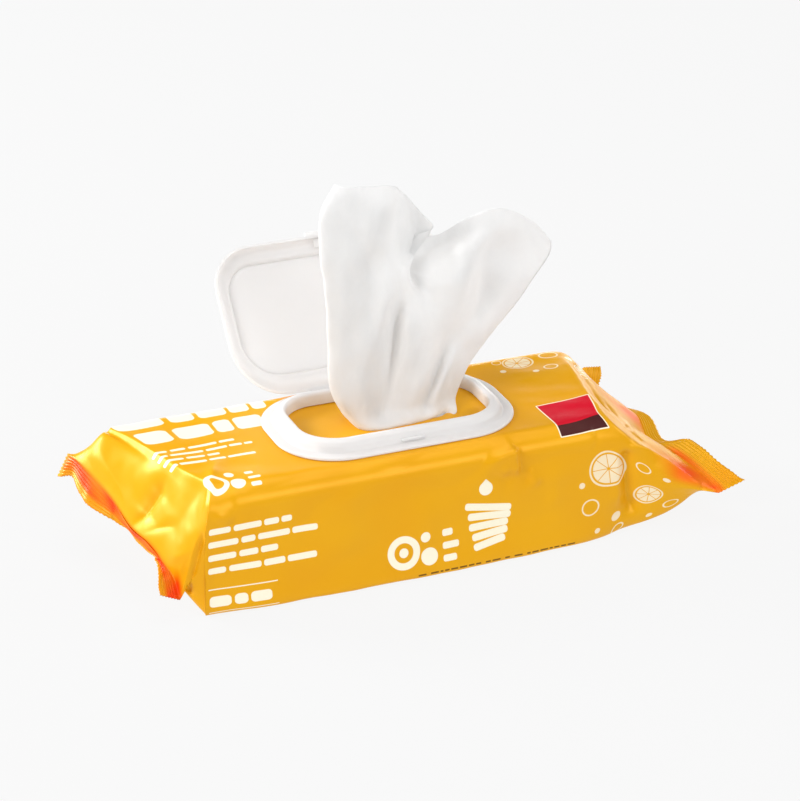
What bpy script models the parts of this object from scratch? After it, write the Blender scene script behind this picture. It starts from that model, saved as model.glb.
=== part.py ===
"""Pack of wet wipes: a film flow-wrap round a folded stack, a moulded flip-top lid on the
film, and the next wipe standing out of the opening.

Metres, +Z up. The origin is on the pack's base, under the middle of the lid's frame.
+X runs along the pack towards its right-hand seal, -Y is the front.
Run with: blender --background --python part.py
"""
import bpy
import bmesh
from math import cos, sin, pi, radians
from mathutils import Matrix, Vector

MM = 0.001

# ---- driving dimensions, mm -------------------------------------------------------------
HALF_WIDTH = 47.2          # film body, half of its width
HEIGHT = 60.5              # top of the film
FILM = 0.6                 # film wall as modelled
STACK_GAP = 0.4            # between the film and the stack
CRIMP = 1.2                # thickness of the crimped end seals

FRAME_L, FRAME_W, FRAME_R = 120.0, 74.4, 30.0   # outer outline of the lid's frame
FRAME_Z = 60.95            # underside of the frame
LID_L, LID_W, LID_R = 120.0, 76.8, 27.0         # outline of the lid's rim
LID_WALL = 1.2
HINGE_Y, HINGE_Z = 37.6, 62.8                   # axis of the living hinge
LID_OPEN = 128.0                                # how far the lid stands open, degrees

MOUTH_L, MOUTH_W, MOUTH_X = 66.0, 24.0, 7.5     # die-cut opening in the film
WIPE_THICK = 10.0          # bunched wipe where it leaves the film
SEAM_GROOVE = 0.4          # depth of the two lines that bound the long seal under the base

# The film's cross-section, (y, z), column by column: from the middle of the back side over
# the top to the middle of the front side (column 10) and back under the base.
SECTION = [(47.2, 30), (47.2, 45), (45.6, 56.5), (40.5, 60.5), (24, 60.5), (6, 60.5),
           (-12, 60.5), (-39.0, 60.5), (-45.6, 55.0), (-47.2, 43), (-47.5, 28), (-47.2, 14),
           (-46.0, 2.2), (-42.5, 0.8), (-34, 0), (-12, 0), (12, 0), (34, 0), (44.0, 0.8), (47.2, 9)]

# Where the film leaves the stack at each end, (x, y, z) in the same columns.
LEFT_EDGE = [(-108, 47.5, 30), (-112, 47, 46), (-122, 45.5, 57), (-126, 41, 60),
             (-120, 25, 60.6), (-114.5, 6, 60.5), (-110, -10, 60), (-101, -35, 59.6),
             (-106, -45.4, 54), (-108.5, -47.2, 43), (-109.5, -47.3, 28), (-109.5, -47, 14),
             (-109, -46, 1.6), (-107.5, -42.5, 0.9), (-106, -24, 0.9), (-106, -8, 0.9),
             (-106, 8, 0.9), (-106, 26, 0.9), (-107, 44.5, 1.2), (-108, 47.2, 9)]
RIGHT_EDGE = [(106, 47.5, 30), (107, 47, 45), (109, 45.5, 56.5), (110.5, 40.5, 60),
              (109, 24, 60.5), (106, 6, 60.5), (101, -12, 60.4), (96, -34, 59.6),
              (99, -45, 54.5), (104, -47.3, 43), (108, -47.8, 28), (108, -47.5, 14),
              (102, -46, 1.6), (98, -42.5, 0.9), (97, -24, 0.9), (97, -8, 0.9), (97, 8, 0.9),
              (97, 26, 0.9), (99, 44.5, 1.2), (104, 47, 9)]

# End seals: the line where both films meet, and the cut edge, from the back to the front.
LEFT_SEAM = [(-144.8, 50, 46), (-145, 46, 46.8), (-143.6, 40, 47), (-141, 31, 45),
             (-137.6, 20, 41.6), (-134.8, 8, 37.2), (-132, -6, 30.5), (-128, -18, 28),
             (-124.5, -29, 23), (-122.2, -38, 18), (-121.4, -45, 9.4)]
LEFT_CUT = [(-150, 50, 34.3), (-149.4, 46.5, 36), (-145.5, 42, 37), (-144.8, 30, 33),
            (-143, 20, 30.5), (-135.3, 11, 26.8), (-130, 3, 23.6), (-126.8, -10, 20.5),
            (-126, -25, 21), (-130.2, -42, 21), (-132.5, -49, 16)]
RIGHT_SEAM = [(126.3, 46, 45.8), (124.5, 43, 43.5), (122.3, 39, 40.5), (124.8, 27, 40.3),
              (127.8, 16, 38.4), (134.5, 4, 36), (131, -16, 32), (135.3, -27, 31.7),
              (144.2, -38, 26), (149.2, -50, 22.5), (150.6, -55, 21.5)]
RIGHT_CUT = [(135.5, 46, 44.2), (134.7, 43, 41.1), (131.5, 39, 37), (130.6, 36, 33.8),
             (134, 24, 33), (144.3, 7, 31.8), (141.5, -14, 28.5), (151.8, -22.5, 31),
             (156.9, -37, 27), (162.3, -51, 23.2), (164.5, -57.5, 22)]

# Outline of the wipe that stands out of the opening, (x, z).
WIPE_OUTLINE = [(-22, 60.0), (37, 60.0), (37.5, 78), (52, 97), (70, 120), (85, 139),
                (82, 149), (72, 157), (60, 159), (40, 154), (26, 150), (22, 156),
                (12, 170), (4, 177), (-12, 181), (-28, 183), (-31, 165), (-28.5, 120),
                (-29.5, 92), (-28, 76), (-24, 66)]


# ---- helpers ----------------------------------------------------------------------------
for leftover in list(bpy.data.objects):
    bpy.data.objects.remove(leftover, do_unlink=True)

PARTS = bpy.data.collections.new("wet_wipes_pack")
CUTTERS = bpy.data.collections.new("cutters")
bpy.context.scene.collection.children.link(PARTS)
bpy.context.scene.collection.children.link(CUTTERS)


def material(name, colour, roughness):
    m = bpy.data.materials.new(name)
    m.use_nodes = True
    shader = m.node_tree.nodes["Principled BSDF"]
    shader.inputs["Base Color"].default_value = (*colour, 1)
    shader.inputs["Roughness"].default_value = roughness
    shader.inputs["Metallic"].default_value = 0.0
    return m


def put(obj, mat=None, collection=PARTS):
    for c in list(obj.users_collection):
        c.objects.unlink(obj)
    collection.objects.link(obj)
    if mat:
        obj.data.materials.clear()
        obj.data.materials.append(mat)
    if collection is CUTTERS:
        obj.hide_render = True
        obj.display_type = "WIRE"
    return obj


def mesh_object(name, verts, faces, mat=None, collection=PARTS, smooth=True):
    mesh = bpy.data.meshes.new(name)
    mesh.from_pydata([tuple(c * MM for c in v) for v in verts], [], faces)
    bm = bmesh.new()
    bm.from_mesh(mesh)
    bmesh.ops.recalc_face_normals(bm, faces=bm.faces)
    bm.to_mesh(mesh)
    bm.free()
    if smooth:
        mesh.shade_smooth()
        mesh.set_sharp_from_angle(angle=radians(40))
    obj = bpy.data.objects.new(name, mesh)
    return put(obj, mat, collection)


def loft(rings, close_ends=True, close_round=False):
    """Quads between closed rings of equal point counts."""
    n = len(rings[0])
    verts = [p for ring in rings for p in ring]
    faces = []
    spans = len(rings) if close_round else len(rings) - 1
    for r in range(spans):
        a, b = r * n, ((r + 1) % len(rings)) * n
        for k in range(n):
            faces.append((a + k, a + (k + 1) % n, b + (k + 1) % n, b + k))
    if close_ends and not close_round:
        faces.append(tuple(range(n)))
        faces.append(tuple(range((len(rings) - 1) * n, len(rings) * n)))
    return verts, faces


def rounded(length, width, radius, z, cx=0.0, cy=0.0, steps=9):
    """Points of a rounded rectangle, counter-clockwise, straight sides split in the middle."""
    radius = min(radius, length / 2 - 0.01, width / 2 - 0.01)
    pts = []
    corners = ((1, 1, 0), (-1, 1, 90), (-1, -1, 180), (1, -1, 270))
    for sx, sy, start in corners:
        ox, oy = sx * (length / 2 - radius), sy * (width / 2 - radius)
        for i in range(steps + 1):
            a = radians(start + 90 * i / steps)
            pts.append((cx + ox + radius * cos(a), cy + oy + radius * sin(a), z))
    return pts


def boolean(target, cutter, operation):
    m = target.modifiers.new(operation.lower(), "BOOLEAN")
    m.operation = operation
    m.solver = "EXACT"
    m.object = cutter
    return m


def subdivide(obj, levels):
    m = obj.modifiers.new("smooth", "SUBSURF")
    m.levels = levels
    m.render_levels = levels
    return m


FILM_MAT = material("film", (0.86, 0.45, 0.0), 0.3)
PLASTIC = material("moulded_plastic", (0.9, 0.88, 0.87), 0.35)
NONWOVEN = material("nonwoven", (0.9, 0.9, 0.9), 0.9)
WET_STACK = material("wet_nonwoven", (0.86, 0.87, 0.86), 0.8)


# ---- the film pouch ---------------------------------------------------------------------
def lerp(a, b, f):
    return tuple(p + (q - p) * f for p, q in zip(a, b))


def widen(ring):
    """20 columns to 24: one more beside each long edge of the top and of the base."""
    r = [tuple(p) for p in ring]
    return (r[:4] + [lerp(r[3], r[4], 0.35)] + r[4:7] + [lerp(r[6], r[7], 0.75)] + r[7:14]
            + [lerp(r[13], r[14], 0.3)] + r[14:18] + [lerp(r[17], r[18], 0.7)] + r[18:])


# place of each top column, 0 to 12, along an end seal's eleven points
ALONG = [0, 1, 2, 3, 3.6, 4.5, 5.4, 6.3, 7.0, 7.6, 8.3, 9.2, 10]


def on_line(points, t):
    i = min(int(t), len(points) - 2)
    return lerp(points[i], points[i + 1], t - i)


def seal_ring(line, other, half):
    """A flat closed ring along an end seal: one film above the line, one below."""
    top, ring = [], [None] * 24
    for k in range(13):
        here, there = Vector(on_line(line, ALONG[k])), Vector(on_line(other, ALONG[k]))
        before = Vector(on_line(line, max(ALONG[k] - 0.5, 0)))
        after = Vector(on_line(line, min(ALONG[k] + 0.5, 10)))
        normal = (after - before).cross(there - here)
        if normal.z < 0:
            normal.negate()
        top.append((here, normal.normalized() * half))
    for k in range(13):
        p, n = top[k]
        if k in (0, 12):
            ring[k] = tuple(p)
        else:
            ring[k] = tuple(p + n)
            ring[24 - k] = tuple(p - n)
    return ring


def between(edge, seam, f, lift, moved=None):
    ring = []
    for k, (a, b) in enumerate(zip(edge, seam)):
        p = list(lerp(a, b, f))
        p[2] += lift * (1 if 2 < k < 10 else -1 if 14 < k < 22 else 0)
        ring.append(tuple(p))
    for k, p in (moved or {}).items():
        ring[k] = p
    return ring


def body_ring(x):
    return widen([(x, y, z) for y, z in SECTION])


left_edge, right_edge = widen(LEFT_EDGE), widen(RIGHT_EDGE)
left_seam = seal_ring(LEFT_SEAM, LEFT_CUT, CRIMP / 2)
left_cut = seal_ring(LEFT_CUT, [tuple(2 * c - s for c, s in zip(p, q)) for p, q in zip(LEFT_CUT, LEFT_SEAM)], CRIMP / 2)
right_seam = seal_ring(RIGHT_SEAM, RIGHT_CUT, CRIMP / 2)
right_cut = seal_ring(RIGHT_CUT, [tuple(2 * c - s for c, s in zip(p, q)) for p, q in zip(RIGHT_CUT, RIGHT_SEAM)], CRIMP / 2)

rings = [
    left_cut,
    left_seam,
    between(left_edge, left_seam, 0.66, 0.8),
    between(left_edge, left_seam, 0.30, 1.0),
    left_edge,
    body_ring(-88), body_ring(-62), body_ring(-30), body_ring(0), body_ring(30), body_ring(62), body_ring(84),
    right_edge,
    between(right_edge, right_seam, 0.32, 0.8, {13: (121, -48.5, 14), 14: (119, -46.5, 4.0), 15: (112, -41, 3.2)}),
    between(right_edge, right_seam, 0.68, 0.8, {13: (138, -50, 16.5), 14: (137, -48.5, 11.5), 15: (127, -40, 12)}),
    right_seam,
    right_cut,
]


def flat_end(first, n=24):
    """Faces that close a flat ring: top column k to bottom column n - k."""
    faces = [(first, first + 1, first + n - 1)]
    for k in range(1, n // 2 - 1):
        faces.append((first + k, first + k + 1, first + n - k - 1, first + n - k))
    faces.append((first + n // 2 - 1, first + n // 2, first + n // 2 + 1))
    return faces


verts, faces = loft(rings, close_ends=False)
faces += flat_end(0) + flat_end((len(rings) - 1) * 24)
pouch = mesh_object("film_pouch", verts, faces, FILM_MAT)
subdivide(pouch, 1)


def inset_body(name, gap, x0, x1, mat=None, collection=CUTTERS):
    """A closed block that follows the film's cross-section from inside."""
    mid_z = HEIGHT / 2
    fy, fz = 1 - gap / HALF_WIDTH, 1 - gap / mid_z
    section = widen([(0, y * fy, mid_z + (z - mid_z) * fz) for y, z in SECTION])
    # the folded block has soft ends: its section shrinks over the last 14 mm
    stations = [(x0, 0.84), (x0 + 2, 0.91), (x0 + 7, 0.965), (x0 + 15, 1), (-60, 1), (-20, 1),
                (20, 1), (60, 1), (x1 - 15, 1), (x1 - 7, 0.965), (x1 - 2, 0.91), (x1, 0.84)]
    blocks = []
    for x, s in stations:
        blocks.append([(x, y * s, mid_z + (z - mid_z) * s) for _, y, z in section])
    v, f = loft(blocks)
    obj = mesh_object(name, v, f, mat, collection)
    subdivide(obj, 1)
    return obj




def inner_ring(i, gap):
    """Ring i of the film moved inwards by gap, square to the film's surface."""
    ring = []
    for k in range(24):
        p = Vector(rings[i][k])
        along = Vector(rings[i + 1][k]) - Vector(rings[i - 1][k])
        around = Vector(rings[i][(k + 1) % 24]) - Vector(rings[i][k - 1])
        ring.append(tuple(p - around.cross(along).normalized() * gap))
    return ring


# hollow inside, from end seal to end seal
hollow = [inner_ring(i, FILM) for i in range(2, len(rings) - 2)]
v, f = loft(hollow, close_ends=False)
f += flat_end(0) + flat_end((len(hollow) - 1) * 24)
cavity = mesh_object("film_inside", v, f, None, CUTTERS)
subdivide(cavity, 1)
boolean(pouch, cavity, "DIFFERENCE")

# die-cut opening through the top film, which the wipe comes out of
v, f = loft([rounded(MOUTH_L, MOUTH_W, 11.5, HEIGHT - 2.2, MOUTH_X, 0, 7),
             rounded(MOUTH_L, MOUTH_W, 11.5, HEIGHT + 2.0, MOUTH_X, 0, 7)])
mouth = mesh_object("mouth_cutter", v, f, None, CUTTERS)
boolean(pouch, mouth, "DIFFERENCE")

# the long back seal, folded flat and pressed flush into the base: two shallow lines bound it
for i, y in enumerate((-7.5, 7.5)):
    bpy.ops.mesh.primitive_cube_add(size=1)
    line = bpy.context.active_object
    line.name = "seal_line_%d" % i
    line.data.transform(Matrix.Diagonal((0.180, 0.0010, SEAM_GROOVE * 2 * MM, 1)))
    line.location = (-0.004, y * MM, 0)
    put(line, None, CUTTERS)
    boolean(pouch, line, "DIFFERENCE")

# ---- the wipes inside -------------------------------------------------------------------
stack = inset_body("wipe_stack", FILM + STACK_GAP, -100.5, 94.5, WET_STACK, PARTS)

# ---- the wipe standing out of the opening -----------------------------------------------
curve = bpy.data.curves.new("wipe_outline", "CURVE")
curve.dimensions = "2D"
curve.fill_mode = "BOTH"
curve.extrude = WIPE_THICK / 2 * MM
spline = curve.splines.new("POLY")
spline.points.add(len(WIPE_OUTLINE) - 1)
for p, (x, z) in zip(spline.points, WIPE_OUTLINE):
    p.co = (x * MM, z * MM, 0, 1)
spline.use_cyclic_u = True
outline = bpy.data.objects.new("wipe_outline", curve)
outline.rotation_euler = (pi / 2, 0, 0)
bpy.context.scene.collection.objects.link(outline)
bpy.context.view_layer.update()
mesh = bpy.data.meshes.new_from_object(outline.evaluated_get(bpy.context.evaluated_depsgraph_get()))
bm = bmesh.new()
bm.from_mesh(mesh)
bmesh.ops.remove_doubles(bm, verts=bm.verts, dist=0.00001)
bmesh.ops.recalc_face_normals(bm, faces=bm.faces)
bm.to_mesh(mesh)
bm.free()
top_wipe = bpy.data.objects.new("top_wipe", mesh)
top_wipe.matrix_world = outline.matrix_world
bpy.data.objects.remove(outline, do_unlink=True)
put(top_wipe, NONWOVEN)

# ---- the lid's frame --------------------------------------------------------------------
# (inset from the outer outline, height): flange, step, raised ring, and the hollow under it
FRAME_PROFILE = [(0.0, 61.2), (0.0, 61.9), (0.5, 62.4), (5.0, 62.5), (5.6, 63.4), (6.3, 65.2),
                 (7.8, 66.7), (9.4, 67.5), (10.9, 67.8), (11.8, 67.3), (12.1, 66.2), (12.1, FRAME_Z),
                 (11.0, FRAME_Z), (10.8, 66.3), (9.6, 66.3), (8.3, 65.4), (7.5, 63.9), (6.9, 62.0),
                 (6.4, FRAME_Z), (0.3, FRAME_Z)]
loops = [rounded(FRAME_L - 2 * d, FRAME_W - 2 * d, FRAME_R - d, z) for d, z in FRAME_PROFILE]
v, f = loft(loops, close_round=True)
frame = mesh_object("lid_frame", v, f, PLASTIC)

# hinge land: a thin lip along the back edge that the living hinge grows from
bpy.ops.mesh.primitive_cube_add(size=1)
lip = bpy.context.active_object
lip.name = "hinge_lip"
lip.data.transform(Matrix.Diagonal((0.050, 0.0024, 0.0008, 1)))
lip.location = (0, (FRAME_W / 2 - 1.05) * MM, (62.45 - 0.4) * MM)
put(lip, None, CUTTERS)
boolean(frame, lip, "UNION")

# catch nub on the front of the raised ring
bpy.ops.mesh.primitive_cube_add(size=1)
nub = bpy.context.active_object
nub.name = "catch_nub"
nub.data.transform(Matrix.Diagonal((0.012, 0.0016, 0.0014, 1)))
nub.location = (0, (-FRAME_W / 2 + 5.4) * MM, 63.9 * MM)
put(nub, None, CUTTERS)
boolean(frame, nub, "UNION")

# ---- the flip lid -----------------------------------------------------------------------
# Drawn closed, measured from the hinge axis, then swung open.
# (inset at front and sides, inset at the back, height above the rim)
LID_LEVELS = [(0.0, 0.3, 0.0), (0.05, 0.4, 0.9), (0.3, 1.9, 2.5), (1.0, 4.2, 4.9), (2.4, 6.3, 6.3), (4.2, 8.4, 6.85),
              (7.4, 10.8, 7.0), (8.6, 11.9, 8.0), (16.0, 19.0, 8.2)]
levels = []
for d, back, h in LID_LEVELS:
    front_y = -LID_W + d
    back_y = -back
    levels.append(rounded(LID_L - 2 * d, back_y - front_y, LID_R - d * 0.9, h, 0, (front_y + back_y) / 2))
v, f = loft(levels, close_ends=False)
f.append(tuple(range((len(levels) - 1) * len(levels[0]), len(levels) * len(levels[0]))))
lid = mesh_object("flip_lid", v, f, PLASTIC)
wall = lid.modifiers.new("wall", "SOLIDIFY")
wall.thickness = LID_WALL * MM
wall.offset = -1
wall.use_even_offset = True
lid.location = (0, HINGE_Y * MM, HINGE_Z * MM)
lid.rotation_euler = (-radians(LID_OPEN), 0, 0)

# thumb tab on the free edge, and the catch tongue inside it, both moving with the lid
for name, size, at, op in (("thumb_tab", (18, 3.6, 1.4), (0, -LID_W - 0.4, 0.9), "UNION"),
                           ("catch_tongue", (10, 4.8, 1.2), (0, -LID_W + 3.5, 2.2), "UNION")):
    bpy.ops.mesh.primitive_cube_add(size=1)
    tool = bpy.context.active_object
    tool.name = name
    tool.data.transform(Matrix.Diagonal((*(s * MM for s in size), 1)))
    tool.location = tuple(c * MM for c in at)
    tool.parent = lid
    put(tool, None, CUTTERS)
    boolean(lid, tool, op)

bpy.context.view_layer.update()
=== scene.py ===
"""Looks of the wet wipes pack: film, moulded lid piece, the standing wipe and the stack.

Metres, +Z up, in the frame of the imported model. The origin is on the pack's base, under the
middle of the lid's frame; +X runs along the pack to its right-hand seal, -Y is the front.
"""
from math import cos, sin, pi, radians

import bmesh
import bpy
import numpy as np
from mathutils import Euler, Matrix, Vector
from mathutils.bvhtree import BVHTree


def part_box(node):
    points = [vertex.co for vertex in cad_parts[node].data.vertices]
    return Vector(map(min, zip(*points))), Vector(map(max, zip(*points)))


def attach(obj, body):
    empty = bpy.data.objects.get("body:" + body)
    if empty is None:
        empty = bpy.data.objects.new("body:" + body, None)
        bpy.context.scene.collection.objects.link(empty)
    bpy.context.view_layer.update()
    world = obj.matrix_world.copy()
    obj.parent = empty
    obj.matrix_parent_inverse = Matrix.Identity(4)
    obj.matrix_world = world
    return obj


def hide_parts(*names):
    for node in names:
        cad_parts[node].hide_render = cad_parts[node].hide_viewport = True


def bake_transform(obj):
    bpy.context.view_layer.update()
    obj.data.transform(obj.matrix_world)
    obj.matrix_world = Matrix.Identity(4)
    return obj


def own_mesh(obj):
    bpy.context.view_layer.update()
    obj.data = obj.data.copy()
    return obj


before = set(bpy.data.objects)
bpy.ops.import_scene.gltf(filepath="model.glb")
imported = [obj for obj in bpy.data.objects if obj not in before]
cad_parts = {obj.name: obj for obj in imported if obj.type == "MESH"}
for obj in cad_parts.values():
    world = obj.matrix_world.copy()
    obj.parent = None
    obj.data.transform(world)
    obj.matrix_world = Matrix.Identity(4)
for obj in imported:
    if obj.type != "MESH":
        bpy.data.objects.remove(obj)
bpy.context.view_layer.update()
MM = 0.001
rng = np.random.default_rng(7)

# ---- camera ---------------------------------------------------------------------------
EYE = Vector((-0.4900, -1.2074, 0.6836))
TURN = Euler((radians(64.77), 0, radians(-22.35)))
FOCAL = 3017.58                       # pixels, for an image 800 pixels wide

cam_data = bpy.data.cameras.new("camera")
cam_data.sensor_fit = "AUTO"
cam_data.sensor_width = 36
cam_data.lens = 135.62
cam_data.clip_start, cam_data.clip_end = 0.05, 50
camera = bpy.data.objects.new("camera", cam_data)
camera.location, camera.rotation_euler = EYE, TURN
bpy.context.scene.collection.objects.link(camera)
bpy.context.scene.camera = camera
bpy.context.scene.view_settings.view_transform = "Standard"
bpy.context.scene.view_settings.look = "None"


def sight(px, py):
    """Direction in which an image point lies, seen from the camera."""
    d = Vector(((px - 400) / FOCAL, (400.5 - py) / FOCAL, -1))
    return (TURN.to_matrix() @ d).normalized()


def on_plane(px, py, y):
    """The point at depth y (mm) that shows at an image point, in mm."""
    d = sight(px, py)
    t = (y * MM - EYE.y) / d.y
    return tuple((EYE + d * t) / MM)


def on_height(px, py, z):
    """The point at height z (mm) that shows at an image point, in mm."""
    d = sight(px, py)
    t = (z * MM - EYE.z) / d.z
    return tuple((EYE + d * t) / MM)


# ---- small tools ----------------------------------------------------------------------
def smooth(a, b, x):
    t = np.clip((np.asarray(x, float) - a) / (b - a), 0, 1)
    return t * t * (3 - 2 * t)


def make_mesh(name, verts, quads, tris=()):
    """Mesh from arrays, verts in mm."""
    me = bpy.data.meshes.new(name)
    faces = [tuple(int(i) for i in q) for q in quads] + [tuple(int(i) for i in t) for t in tris]
    me.from_pydata((np.asarray(verts, float) * MM).tolist(), [], faces)
    me.validate()
    me.shade_smooth()
    ob = bpy.data.objects.new(name, me)
    bpy.context.scene.collection.objects.link(ob)
    return ob


def face_out(ob):
    bm = bmesh.new()
    bm.from_mesh(ob.data)
    bmesh.ops.recalc_face_normals(bm, faces=bm.faces)
    bm.to_mesh(ob.data)
    bm.free()


def apply_modifiers(ob):
    bpy.context.view_layer.update()
    me = bpy.data.meshes.new_from_object(ob.evaluated_get(bpy.context.evaluated_depsgraph_get()))
    ob.modifiers.clear()
    ob.data = me
    return ob


def waves(p, scale, seed, octaves=3, count=7):
    """Smooth random field from plane waves, about -1 to 1. p (..., 3) in mm, scale in mm."""
    r = np.random.default_rng(seed)
    out = np.zeros(p.shape[:-1])
    amp, total = 1.0, 0.0
    for o in range(octaves):
        for _ in range(count):
            d = r.normal(size=3)
            d /= np.linalg.norm(d)
            k = 2 * pi / (scale / 1.9 ** o) * r.uniform(0.6, 1.4)
            bend = 0.9 * np.sin(p @ np.roll(d, 1) * k * 0.43 + r.uniform(0, 7))
            out += amp * np.sin(p @ d * k + r.uniform(0, 7) + bend)
        total += amp * np.sqrt(count / 2)
        amp *= 0.5
    return out / total


# ---- the film: coarse cage ------------------------------------------------------------
CRIMP = 0.5
SECTION = [(47.2, 30), (47.2, 45), (45.6, 56.5), (40.5, 60.5), (24, 60.5), (6, 60.5),
           (-12, 60.5), (-39.0, 60.5), (-45.6, 55.0), (-47.2, 43), (-48.0, 28), (-49.2, 12),
           (-50.8, 0.7), (-46.5, 0.4), (-24, 0.5), (-8, 0.5), (8, 0.5), (26, 0.5), (44.5, 0.6), (47.2, 9)]
LEFT_EDGE = [(-108, 47.5, 30), (-112, 47, 46), (-122, 45.5, 57), (-126, 41, 60),
             (-120, 25, 60.6), (-114.5, 6, 60.5), (-110, -10, 60), (-101, -35, 59.6),
             (-106, -45.4, 54), (-108.5, -47.2, 43), (-109.5, -47.6, 28), (-110.2, -48.8, 13),
             (-110.8, -50.2, 0.7), (-108, -45, 0.4), (-106, -24, 0.5), (-106, -8, 0.5),
             (-106, 8, 0.5), (-106, 26, 0.5), (-107, 44.5, 0.8), (-108, 47.2, 9)]
RIGHT_EDGE = [(106, 47.5, 30), (107, 47, 45), (109, 45.5, 56.5), (110.5, 40.5, 60),
              (109, 24, 60.5), (106, 6, 60.5), (101, -12, 60.4), (96, -34, 59.6),
              (99, -45, 54.5), (104, -47.3, 43), (108, -47.8, 28), (108, -47.5, 14),
              (102, -46, 1.6), (98, -42.5, 0.6), (97, -24, 0.5), (97, -8, 0.5), (97, 8, 0.5),
              (97, 26, 0.5), (99, 44.5, 0.8), (104, 47, 9)]
LEFT_SEAM = [(-144.8, 50, 46), (-145, 46, 46.8), (-143.6, 40, 47), (-141, 31, 45),
             (-137.6, 20, 41.6), (-134.8, 8, 37.2), (-132, -6, 30.5), (-128, -18, 28),
             (-124.5, -29, 23), (-122.2, -38, 18), (-121.4, -45, 9.4)]
LEFT_CUT = [(-150, 50, 34.3), (-149.4, 46.5, 36), (-145.5, 42, 37), (-144.8, 30, 33),
            (-143, 20, 30.5), (-135.3, 11, 26.8), (-130, 3, 23.6), (-126.8, -10, 20.5),
            (-126, -25, 21), (-130.2, -42, 21), (-132.5, -49, 16)]
RIGHT_SEAM = [(126.3, 46, 45.8), (124.5, 43, 43.5), (122.3, 39, 40.5), (124.8, 27, 40.3),
              (127.8, 16, 38.4), (134.5, 4, 36), (131, -16, 32), (135.3, -27, 31.7),
              (144.2, -38, 26), (149.0, -51, 20.6), (150.4, -57.2, 17.8)]
RIGHT_CUT = [(135.5, 46, 44.2), (134.7, 43, 41.1), (131.5, 39, 37), (130.6, 36, 33.8),
             (134, 24, 33), (144.3, 7, 31.8), (141.5, -14, 28.5), (151.8, -22.5, 31),
             (156.9, -37, 27), (162.3, -51, 23.2), (164.5, -57.5, 22)]
ALONG = [0, 1, 2, 3, 3.6, 4.5, 5.4, 6.3, 7.0, 7.6, 8.3, 9.2, 10]


def lerp(a, b, f):
    return tuple(p + (q - p) * f for p, q in zip(a, b))


def widen(ring):
    r = [tuple(p) for p in ring]
    return (r[:4] + [lerp(r[3], r[4], 0.35)] + r[4:7] + [lerp(r[6], r[7], 0.75)] + r[7:14]
            + [lerp(r[13], r[14], 0.3)] + r[14:18] + [lerp(r[17], r[18], 0.7)] + r[18:])


def on_line(points, t):
    i = min(int(t), len(points) - 2)
    return lerp(points[i], points[i + 1], t - i)


def seal_ring(line, other, half):
    ring = [None] * 24
    for k in range(13):
        here, there = Vector(on_line(line, ALONG[k])), Vector(on_line(other, ALONG[k]))
        before = Vector(on_line(line, max(ALONG[k] - 0.5, 0)))
        after = Vector(on_line(line, min(ALONG[k] + 0.5, 10)))
        n = (after - before).cross(there - here)
        if n.z < 0:
            n.negate()
        n = n.normalized() * half
        if k in (0, 12):
            ring[k] = tuple(here)
        else:
            ring[k] = tuple(here + n)
            ring[24 - k] = tuple(here - n)
    return ring


def between(edge, seam, f, lift, moved=None, crown=0.0):
    """A ring of an end; crown lifts its upper rear corner."""
    ring = []
    for k, (a, b) in enumerate(zip(edge, seam)):
        p = list(lerp(a, b, f))
        p[2] += lift * (1 if 2 < k < 10 else -1 if 14 < k < 22 else 0) + crown * max(0.0, 1 - abs(k - 3.6) / 3)
        ring.append(tuple(p))
    for k, p in (moved or {}).items():
        ring[k] = p
    return ring


def past(cut, seam):
    return [tuple(2 * c - s for c, s in zip(p, q)) for p, q in zip(cut, seam)]


def body_ring(x):
    """The film bulges a little at the foot of its front, most at mid-length."""
    out = 2.8 * np.exp(-((x + 12) / 75) ** 2)
    return widen([(x, y - out * {10: 0.25, 11: 0.6, 12: 1.0, 13: 1.0}.get(i, 0), z) for i, (y, z) in enumerate(SECTION)])


left_edge, right_edge = widen(LEFT_EDGE), widen(RIGHT_EDGE)
left_seam = seal_ring(LEFT_SEAM, LEFT_CUT, CRIMP / 2)
left_cut = seal_ring(LEFT_CUT, past(LEFT_CUT, LEFT_SEAM), CRIMP / 2)
right_seam = seal_ring(RIGHT_SEAM, RIGHT_CUT, CRIMP / 2)
right_cut = seal_ring(RIGHT_CUT, past(RIGHT_CUT, RIGHT_SEAM), CRIMP / 2)
BODY_X = (-88, -62, -30, 0, 30, 62, 84)


def beside(ring, other, near, far):
    """A ring close to another one, closer still along the front's upright edge."""
    return [lerp(a, b, near if 9 < k < 16 else far) for k, (a, b) in enumerate(zip(ring, other))]


CAGE = np.array([
    left_cut, left_seam,
    between(left_edge, left_seam, 0.66, 0.8, crown=4.6), between(left_edge, left_seam, 0.30, 1.0, crown=4.2),
    beside(left_edge, left_seam, 0.06, 0.12), left_edge, beside(left_edge, body_ring(-88), 0.06, 0.16),
    *(body_ring(x) for x in BODY_X),
    right_edge,
    between(right_edge, right_seam, 0.32, 0.8, {13: (121, -48.5, 14), 14: (119, -46.5, 4.0), 15: (112, -41, 3.2)}),
    between(right_edge, right_seam, 0.68, 0.8, {13: (138, -50, 16.5), 14: (137, -48.5, 11.5), 15: (127, -40, 12)}),
    right_seam, right_cut])


def on_spline(c):
    """Where the spline surface runs at its own control points."""
    rows = c.copy()
    rows[2:-2] = (c[1:-3] + 4 * c[2:-2] + c[3:-1]) / 6
    return (np.roll(rows, 1, 1) + 4 * rows + np.roll(rows, -1, 1)) / 6


AIM = CAGE
for _ in range(2):
    CAGE = CAGE + 0.6 * (AIM - on_spline(CAGE))
CAGE[..., 2] = np.maximum(CAGE[..., 2], 0.35)
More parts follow.
